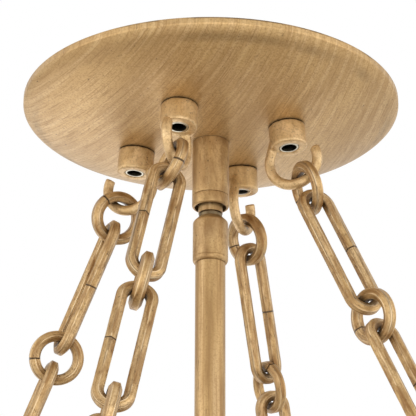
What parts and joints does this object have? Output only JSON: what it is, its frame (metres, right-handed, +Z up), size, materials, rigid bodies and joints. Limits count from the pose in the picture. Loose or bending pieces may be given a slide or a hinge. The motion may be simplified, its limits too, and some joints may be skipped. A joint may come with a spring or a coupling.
{
  "type": "drum chandelier",
  "caption": "Ceiling chandelier: a round fabric drum hung on link chains from open hooks on a domed canopy, with a swivel stem in the middle.",
  "frame": {"origin": "centre of the ceiling plane, on the stem's axis, at the top face of the mounting strap", "axes": "+Z up, +X along the mounting strap, chains on the diagonals between X and Y"},
  "size_m": [0.424, 0.424, 0.5754],
  "materials": {
    "canopy_brass": "brushed antique brass with darker patina round the fittings",
    "chain_brass": "antique brass with fine lengthwise drawing lines",
    "swivel_brass": "satin antique brass, turned",
    "antique_brass": "satin antique brass",
    "zinc_steel": "plain zinc plated",
    "linen": "off-white linen on a stiff backing",
    "acrylic": "satin white diffuser",
    "bulb_glass": "frosted",
    "holder_plastic": "matt ivory"
  },
  "bodies": {
    "canopy_side": {"canopy": "canopy_brass", "mounting_strap": "zinc_steel", "canopy_nipple": "zinc_steel", "centre_lock_nuts": "zinc_steel", "canopy_hooks": "antique_brass", "hook_nipples": "zinc_steel", "hook_nuts": "zinc_steel", "swivel_cup": "swivel_brass", "swivel_ring": "swivel_brass"},
    "drum_side": {"swivel_ball": "swivel_brass", "swivel_washer": "zinc_steel", "stem_coupling": "swivel_brass", "stem_tube": "swivel_brass", "drum_top_frame": "antique_brass", "drum_eyes": "antique_brass", "eye_nuts": "zinc_steel", "drum_shade": "linen", "drum_bottom_ring": "antique_brass", "diffuser": "acrylic", "lamp_hub": "antique_brass", "lamp_holders": "holder_plastic", "bulbs": "bulb_glass", "diffuser_rod": "zinc_steel", "finial": "antique_brass"},
    "chain_a_ring_1": {"chain_a_ring_1": "chain_brass"},
    "chain_a_link_1": {"chain_a_link_1": "chain_brass"},
    "chain_a_ring_2": {"chain_a_ring_2": "chain_brass"},
    "chain_a_link_2": {"chain_a_link_2": "chain_brass"},
    "chain_a_ring_3": {"chain_a_ring_3": "chain_brass"},
    "chain_a_link_3": {"chain_a_link_3": "chain_brass"},
    "chain_a_ring_4": {"chain_a_ring_4": "chain_brass"},
    "chain_a_link_4": {"chain_a_link_4": "chain_brass"},
    "chain_a_ring_5": {"chain_a_ring_5": "chain_brass"},
    "chain_b_ring_1": {"chain_b_ring_1": "chain_brass"},
    "chain_b_link_1": {"chain_b_link_1": "chain_brass"},
    "chain_b_ring_2": {"chain_b_ring_2": "chain_brass"},
    "chain_b_link_2": {"chain_b_link_2": "chain_brass"},
    "chain_b_ring_3": {"chain_b_ring_3": "chain_brass"},
    "chain_b_link_3": {"chain_b_link_3": "chain_brass"},
    "chain_b_ring_4": {"chain_b_ring_4": "chain_brass"},
    "chain_b_link_4": {"chain_b_link_4": "chain_brass"},
    "chain_b_ring_5": {"chain_b_ring_5": "chain_brass"},
    "chain_c_ring_1": {"chain_c_ring_1": "chain_brass"},
    "chain_c_link_1": {"chain_c_link_1": "chain_brass"},
    "chain_c_ring_2": {"chain_c_ring_2": "chain_brass"},
    "chain_c_link_2": {"chain_c_link_2": "chain_brass"},
    "chain_c_ring_3": {"chain_c_ring_3": "chain_brass"},
    "chain_c_link_3": {"chain_c_link_3": "chain_brass"},
    "chain_c_ring_4": {"chain_c_ring_4": "chain_brass"},
    "chain_c_link_4": {"chain_c_link_4": "chain_brass"},
    "chain_c_ring_5": {"chain_c_ring_5": "chain_brass"},
    "chain_d_ring_1": {"chain_d_ring_1": "chain_brass"},
    "chain_d_link_1": {"chain_d_link_1": "chain_brass"},
    "chain_d_ring_2": {"chain_d_ring_2": "chain_brass"},
    "chain_d_link_2": {"chain_d_link_2": "chain_brass"},
    "chain_d_ring_3": {"chain_d_ring_3": "chain_brass"},
    "chain_d_link_3": {"chain_d_link_3": "chain_brass"},
    "chain_d_ring_4": {"chain_d_ring_4": "chain_brass"},
    "chain_d_link_4": {"chain_d_link_4": "chain_brass"},
    "chain_d_ring_5": {"chain_d_ring_5": "chain_brass"}
  },
  "joints": [
    {"name": "drum_turn", "type": "hinge", "parent": "canopy_side", "child": "drum_side", "pos_m": [0, 0, -0.04966], "axis": [0, 0, 1], "range_deg": [-3, 3]},
    {"name": "chain_a_swing", "type": "hinge", "parent": "canopy_side", "child": "chain_a_ring_1", "pos_m": [-0.03712, -0.03712, -0.05256], "axis": [-0.646, -0.646, 0.4067], "range_deg": [-1.7, 1.7]},
    {"name": "chain_a_link_1_twist", "type": "hinge", "parent": "chain_a_ring_1", "child": "chain_a_link_1", "pos_m": [-0.05049, -0.05049, -0.09504], "axis": [-0.2876, -0.2876, -0.9135], "range_deg": [-4, 4]},
    {"name": "chain_a_ring_2_twist", "type": "hinge", "parent": "chain_a_ring_1", "child": "chain_a_ring_2", "pos_m": [-0.06243, -0.06243, -0.13295], "axis": [-0.2876, -0.2876, -0.9135], "range_deg": [-4, 4]},
    {"name": "chain_a_link_2_twist", "type": "hinge", "parent": "chain_a_ring_1", "child": "chain_a_link_2", "pos_m": [-0.07437, -0.07437, -0.17086], "axis": [-0.2876, -0.2876, -0.9135], "range_deg": [-4, 4]},
    {"name": "chain_a_ring_3_twist", "type": "hinge", "parent": "chain_a_ring_1", "child": "chain_a_ring_3", "pos_m": [-0.0863, -0.0863, -0.20878], "axis": [-0.2876, -0.2876, -0.9135], "range_deg": [-4, 4]},
    {"name": "chain_a_link_3_twist", "type": "hinge", "parent": "chain_a_ring_1", "child": "chain_a_link_3", "pos_m": [-0.09824, -0.09824, -0.24669], "axis": [-0.2876, -0.2876, -0.9135], "range_deg": [-4, 4]},
    {"name": "chain_a_ring_4_twist", "type": "hinge", "parent": "chain_a_ring_1", "child": "chain_a_ring_4", "pos_m": [-0.11017, -0.11017, -0.2846], "axis": [-0.2876, -0.2876, -0.9135], "range_deg": [-4, 4]},
    {"name": "chain_a_link_4_twist", "type": "hinge", "parent": "chain_a_ring_1", "child": "chain_a_link_4", "pos_m": [-0.12211, -0.12211, -0.32251], "axis": [-0.2876, -0.2876, -0.9135], "range_deg": [-4, 4]},
    {"name": "chain_a_ring_5_twist", "type": "hinge", "parent": "chain_a_ring_1", "child": "chain_a_ring_5", "pos_m": [-0.13404, -0.13404, -0.36042], "axis": [-0.2876, -0.2876, -0.9135], "range_deg": [-4, 4]},
    {"name": "chain_b_swing", "type": "hinge", "parent": "canopy_side", "child": "chain_b_ring_1", "pos_m": [0.03712, -0.03712, -0.05256], "axis": [0.646, -0.646, 0.4067], "range_deg": [-1.7, 1.7]},
    {"name": "chain_b_link_1_twist", "type": "hinge", "parent": "chain_b_ring_1", "child": "chain_b_link_1", "pos_m": [0.05049, -0.05049, -0.09504], "axis": [0.2876, -0.2876, -0.9135], "range_deg": [-4, 4]},
    {"name": "chain_b_ring_2_twist", "type": "hinge", "parent": "chain_b_ring_1", "child": "chain_b_ring_2", "pos_m": [0.06243, -0.06243, -0.13295], "axis": [0.2876, -0.2876, -0.9135], "range_deg": [-4, 4]},
    {"name": "chain_b_link_2_twist", "type": "hinge", "parent": "chain_b_ring_1", "child": "chain_b_link_2", "pos_m": [0.07437, -0.07437, -0.17086], "axis": [0.2876, -0.2876, -0.9135], "range_deg": [-4, 4]},
    {"name": "chain_b_ring_3_twist", "type": "hinge", "parent": "chain_b_ring_1", "child": "chain_b_ring_3", "pos_m": [0.0863, -0.0863, -0.20878], "axis": [0.2876, -0.2876, -0.9135], "range_deg": [-4, 4]},
    {"name": "chain_b_link_3_twist", "type": "hinge", "parent": "chain_b_ring_1", "child": "chain_b_link_3", "pos_m": [0.09824, -0.09824, -0.24669], "axis": [0.2876, -0.2876, -0.9135], "range_deg": [-4, 4]},
    {"name": "chain_b_ring_4_twist", "type": "hinge", "parent": "chain_b_ring_1", "child": "chain_b_ring_4", "pos_m": [0.11017, -0.11017, -0.2846], "axis": [0.2876, -0.2876, -0.9135], "range_deg": [-4, 4]},
    {"name": "chain_b_link_4_twist", "type": "hinge", "parent": "chain_b_ring_1", "child": "chain_b_link_4", "pos_m": [0.12211, -0.12211, -0.32251], "axis": [0.2876, -0.2876, -0.9135], "range_deg": [-4, 4]},
    {"name": "chain_b_ring_5_twist", "type": "hinge", "parent": "chain_b_ring_1", "child": "chain_b_ring_5", "pos_m": [0.13404, -0.13404, -0.36042], "axis": [0.2876, -0.2876, -0.9135], "range_deg": [-4, 4]},
    {"name": "chain_c_swing", "type": "hinge", "parent": "canopy_side", "child": "chain_c_ring_1", "pos_m": [-0.03712, 0.03712, -0.05256], "axis": [-0.646, 0.646, 0.4067], "range_deg": [-1.7, 1.7]},
    {"name": "chain_c_link_1_twist", "type": "hinge", "parent": "chain_c_ring_1", "child": "chain_c_link_1", "pos_m": [-0.05049, 0.05049, -0.09504], "axis": [-0.2876, 0.2876, -0.9135], "range_deg": [-4, 4]},
    {"name": "chain_c_ring_2_twist", "type": "hinge", "parent": "chain_c_ring_1", "child": "chain_c_ring_2", "pos_m": [-0.06243, 0.06243, -0.13295], "axis": [-0.2876, 0.2876, -0.9135], "range_deg": [-4, 4]},
    {"name": "chain_c_link_2_twist", "type": "hinge", "parent": "chain_c_ring_1", "child": "chain_c_link_2", "pos_m": [-0.07437, 0.07437, -0.17086], "axis": [-0.2876, 0.2876, -0.9135], "range_deg": [-4, 4]},
    {"name": "chain_c_ring_3_twist", "type": "hinge", "parent": "chain_c_ring_1", "child": "chain_c_ring_3", "pos_m": [-0.0863, 0.0863, -0.20878], "axis": [-0.2876, 0.2876, -0.9135], "range_deg": [-4, 4]},
    {"name": "chain_c_link_3_twist", "type": "hinge", "parent": "chain_c_ring_1", "child": "chain_c_link_3", "pos_m": [-0.09824, 0.09824, -0.24669], "axis": [-0.2876, 0.2876, -0.9135], "range_deg": [-4, 4]},
    {"name": "chain_c_ring_4_twist", "type": "hinge", "parent": "chain_c_ring_1", "child": "chain_c_ring_4", "pos_m": [-0.11017, 0.11017, -0.2846], "axis": [-0.2876, 0.2876, -0.9135], "range_deg": [-4, 4]},
    {"name": "chain_c_link_4_twist", "type": "hinge", "parent": "chain_c_ring_1", "child": "chain_c_link_4", "pos_m": [-0.12211, 0.12211, -0.32251], "axis": [-0.2876, 0.2876, -0.9135], "range_deg": [-4, 4]},
    {"name": "chain_c_ring_5_twist", "type": "hinge", "parent": "chain_c_ring_1", "child": "chain_c_ring_5", "pos_m": [-0.13404, 0.13404, -0.36042], "axis": [-0.2876, 0.2876, -0.9135], "range_deg": [-4, 4]},
    {"name": "chain_d_swing", "type": "hinge", "parent": "canopy_side", "child": "chain_d_ring_1", "pos_m": [0.03712, 0.03712, -0.05256], "axis": [0.646, 0.646, 0.4067], "range_deg": [-1.7, 1.7]},
    {"name": "chain_d_link_1_twist", "type": "hinge", "parent": "chain_d_ring_1", "child": "chain_d_link_1", "pos_m": [0.05049, 0.05049, -0.09504], "axis": [0.2876, 0.2876, -0.9135], "range_deg": [-4, 4]},
    {"name": "chain_d_ring_2_twist", "type": "hinge", "parent": "chain_d_ring_1", "child": "chain_d_ring_2", "pos_m": [0.06243, 0.06243, -0.13295], "axis": [0.2876, 0.2876, -0.9135], "range_deg": [-4, 4]},
    {"name": "chain_d_link_2_twist", "type": "hinge", "parent": "chain_d_ring_1", "child": "chain_d_link_2", "pos_m": [0.07437, 0.07437, -0.17086], "axis": [0.2876, 0.2876, -0.9135], "range_deg": [-4, 4]},
    {"name": "chain_d_ring_3_twist", "type": "hinge", "parent": "chain_d_ring_1", "child": "chain_d_ring_3", "pos_m": [0.0863, 0.0863, -0.20878], "axis": [0.2876, 0.2876, -0.9135], "range_deg": [-4, 4]},
    {"name": "chain_d_link_3_twist", "type": "hinge", "parent": "chain_d_ring_1", "child": "chain_d_link_3", "pos_m": [0.09824, 0.09824, -0.24669], "axis": [0.2876, 0.2876, -0.9135], "range_deg": [-4, 4]},
    {"name": "chain_d_ring_4_twist", "type": "hinge", "parent": "chain_d_ring_1", "child": "chain_d_ring_4", "pos_m": [0.11017, 0.11017, -0.2846], "axis": [0.2876, 0.2876, -0.9135], "range_deg": [-4, 4]},
    {"name": "chain_d_link_4_twist", "type": "hinge", "parent": "chain_d_ring_1", "child": "chain_d_link_4", "pos_m": [0.12211, 0.12211, -0.32251], "axis": [0.2876, 0.2876, -0.9135], "range_deg": [-4, 4]},
    {"name": "chain_d_ring_5_twist", "type": "hinge", "parent": "chain_d_ring_1", "child": "chain_d_ring_5", "pos_m": [0.13404, 0.13404, -0.36042], "axis": [0.2876, 0.2876, -0.9135], "range_deg": [-4, 4]}
  ],
  "couplings": [
    {"joint": "chain_a_swing", "follows": "drum_turn", "ratio": 0.56028},
    {"joint": "chain_b_swing", "follows": "drum_turn", "ratio": 0.56028},
    {"joint": "chain_c_swing", "follows": "drum_turn", "ratio": 0.56028},
    {"joint": "chain_d_swing", "follows": "drum_turn", "ratio": 0.56028}
  ]
}
